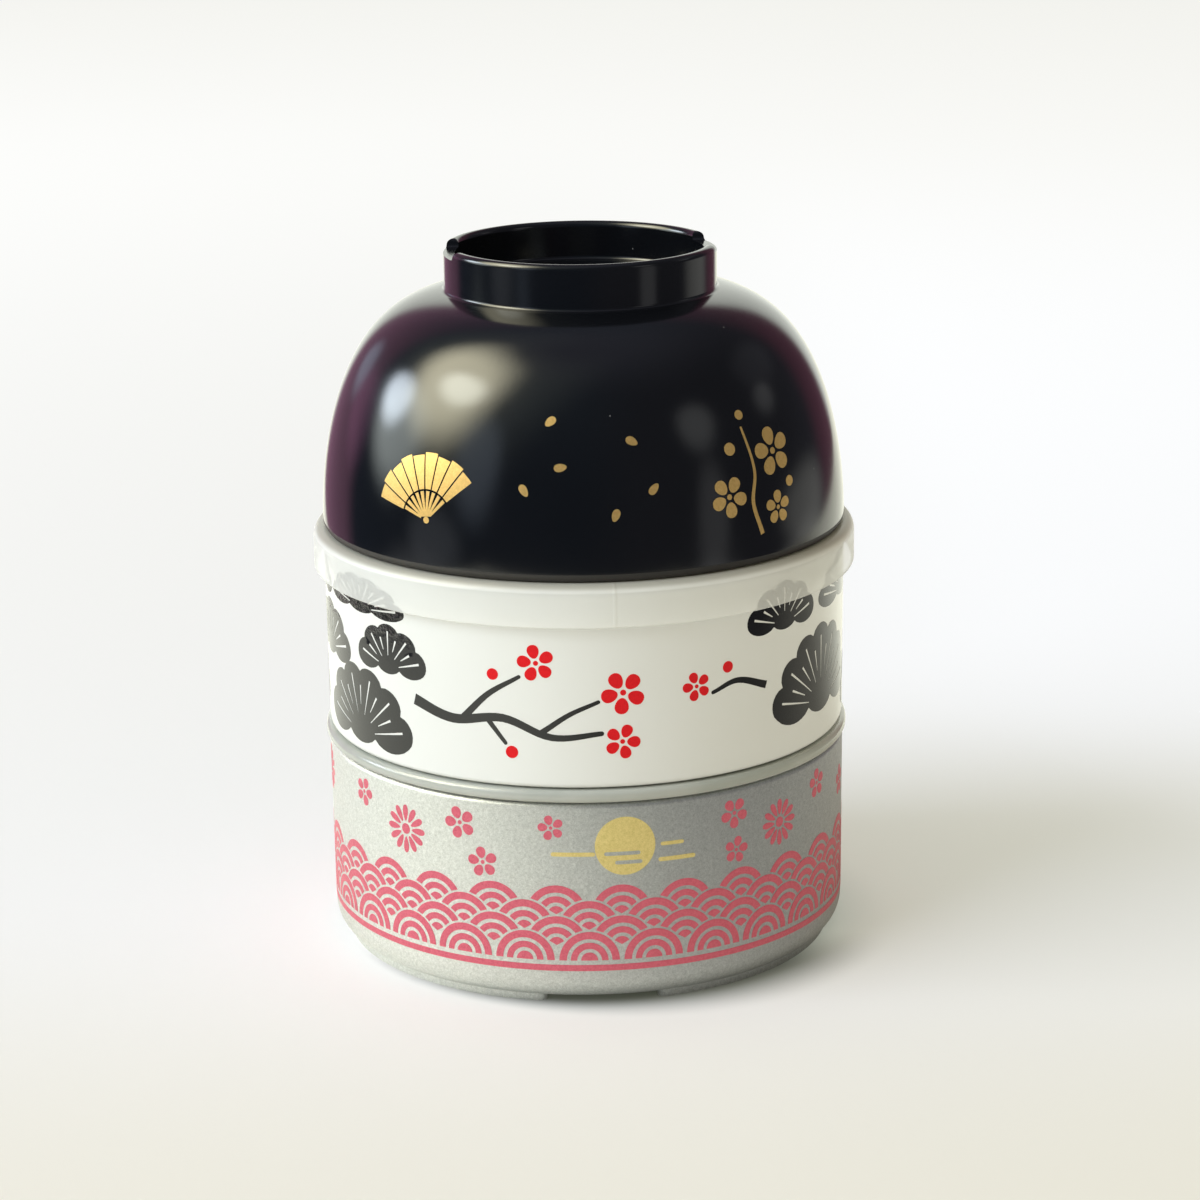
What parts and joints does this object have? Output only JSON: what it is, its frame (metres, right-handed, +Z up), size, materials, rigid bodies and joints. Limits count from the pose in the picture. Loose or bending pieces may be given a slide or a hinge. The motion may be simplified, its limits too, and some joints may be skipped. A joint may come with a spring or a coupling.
{
  "type": "bento box",
  "caption": "Round stacking bento box: lidded lower and upper tiers under an upturned soup bowl with a foot ring.",
  "frame": {"origin": "on the shared vertical axis, at the height of the lower tier's foot, where the box meets the table", "axes": "+Z up along the axis that all pieces are turned about and lifted along, -Y towards the decorated front"},
  "size_m": [0.1144, 0.1144, 0.148],
  "materials": {
    "silver_paint": "plastic with fine-grained silver metallic paint",
    "clear_lid": "translucent grey-green soft plastic",
    "white_gloss": "glossy white plastic",
    "milky_lid": "translucent milky soft plastic",
    "black_gloss": "high-gloss black plastic",
    "black_print": "black print film",
    "gold_print": "gold print film",
    "pink_print": "rose pink print film",
    "red_print": "bright red print film"
  },
  "bodies": {
    "lower_tier": {"lower_tier": "silver_paint"},
    "lower_lid": {"lower_lid": "clear_lid"},
    "upper_tier": {"upper_tier": "white_gloss"},
    "upper_lid": {"upper_lid": "milky_lid"},
    "soup_bowl": {"soup_bowl": "black_gloss"}
  },
  "joints": [
    {"name": "lower_lid_lift", "type": "slide", "parent": "lower_tier", "child": "lower_lid", "axis": [0, 0, 1], "range_m": [0, 0.045]},
    {"name": "upper_tier_lift", "type": "slide", "parent": "lower_lid", "child": "upper_tier", "axis": [0, 0, 1], "range_m": [0, 0.045]},
    {"name": "upper_lid_lift", "type": "slide", "parent": "upper_tier", "child": "upper_lid", "axis": [0, 0, 1], "range_m": [0, 0.045]},
    {"name": "soup_bowl_lift", "type": "slide", "parent": "upper_lid", "child": "soup_bowl", "axis": [0, 0, 1], "range_m": [0, 0.06]}
  ]
}
